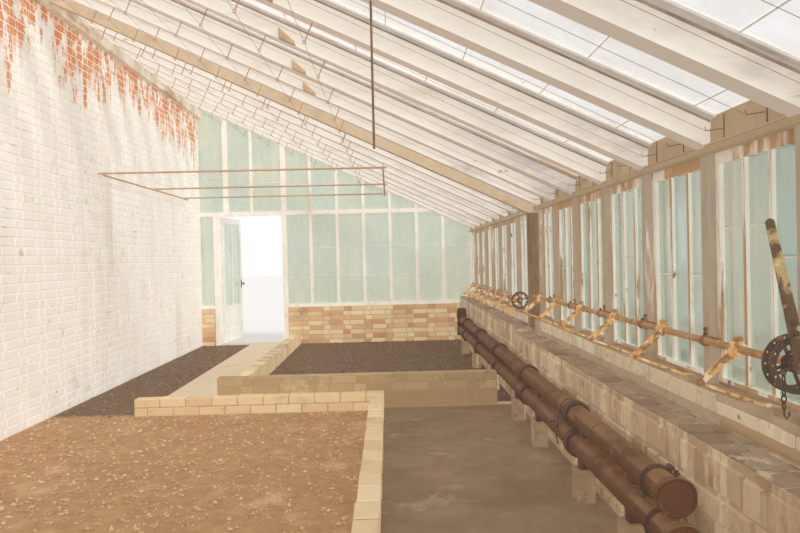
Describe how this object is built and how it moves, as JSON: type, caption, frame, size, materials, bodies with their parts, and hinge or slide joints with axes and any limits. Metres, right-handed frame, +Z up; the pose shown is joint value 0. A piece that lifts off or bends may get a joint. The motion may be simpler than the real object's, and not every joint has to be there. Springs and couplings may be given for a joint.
{
  "type": "lean-to glasshouse",
  "caption": "Long lean-to glasshouse against a tall brick wall, with a gable door that opens, heating pipes and ventilator gear inside.",
  "frame": {"origin": "on the ground under the middle of the whole building's box", "axes": "+Z up; +Y along the house towards the gable with the opening door; +X from the back wall to the glazed front"},
  "size_m": [5.005, 13.179, 4.3989],
  "materials": {
    "concrete": "worn concrete",
    "cream_painted_brick": "painted brick, worn",
    "cream_timber": "old cream paint on softwood",
    "dark_timber": "dark stained timber",
    "gable_brick": "cream and red brick, matt",
    "gravel": "loose gravel and soil",
    "horticultural_glass": "thin greenhouse glass, algae at the laps",
    "kerb_brick": "worn brick, matt",
    "lead": "dull sheet lead",
    "painted_iron": "old black paint",
    "red_brick": "brick, matt",
    "rough_render": "rough lime render and rubble",
    "rusty_iron": "brown and orange rust",
    "tan_timber": "bare tan boards",
    "white_timber": "white paint, peeling",
    "whitewashed_brick": "brick under worn whitewash, matt"
  },
  "bodies": {
    "house": {"back_wall": "whitewashed_brick", "back_wall_coping": "concrete", "chain_wheels": "rusty_iron", "door_kerb": "kerb_brick", "door_side_jamb": "cream_timber", "far_gable_glass": "horticultural_glass", "far_gable_lower_frame": "cream_timber", "far_gable_upper_frame": "cream_timber", "far_gable_walls": "gable_brick", "fascia_boards": "tan_timber", "front_glass": "horticultural_glass", "front_posts": "cream_timber", "front_sashes": "white_timber", "front_sill": "white_timber", "front_wall": "red_brick", "front_wall_course": "cream_painted_brick", "gravel_beds": "gravel", "gutter": "painted_iron", "hanging_rails": "rusty_iron", "hanging_rod": "rusty_iron", "head_plate": "tan_timber", "high_kerb": "cream_painted_brick", "long_kerb": "kerb_brick", "low_kerb": "kerb_brick", "lower_pipe": "rusty_iron", "main_post": "cream_timber", "main_rafter": "dark_timber", "near_door": "white_timber", "near_door_glass": "horticultural_glass", "near_gable_frame": "cream_timber", "near_gable_glass": "horticultural_glass", "near_gable_walls": "gable_brick", "outer_fascia": "white_timber", "path_slabs": "concrete", "pipe_bench": "rough_render", "pipe_end_box": "rusty_iron", "pipe_saddles": "rusty_iron", "pipe_stands": "kerb_brick", "rafters": "cream_timber", "roof_glass": "horticultural_glass", "shaft_bearings": "rusty_iron", "thresholds": "concrete", "top_flashing": "lead", "upper_pipe": "rusty_iron", "vent_levers": "rusty_iron", "vent_links": "rusty_iron", "vent_shafts": "rusty_iron", "ventilators": "white_timber", "wall_plate": "dark_timber", "wall_roll": "cream_painted_brick", "wheel_arm": "rusty_iron"},
    "door": {"door_leaf": "white_timber", "door_glass": "horticultural_glass"}
  },
  "joints": [
    {"name": "gable_door_hinge", "type": "hinge", "parent": "house", "child": "door", "pos_m": [-1.8365, 5.5705, 1], "axis": [0, 0, 1], "range_deg": [-85, 15]}
  ]
}
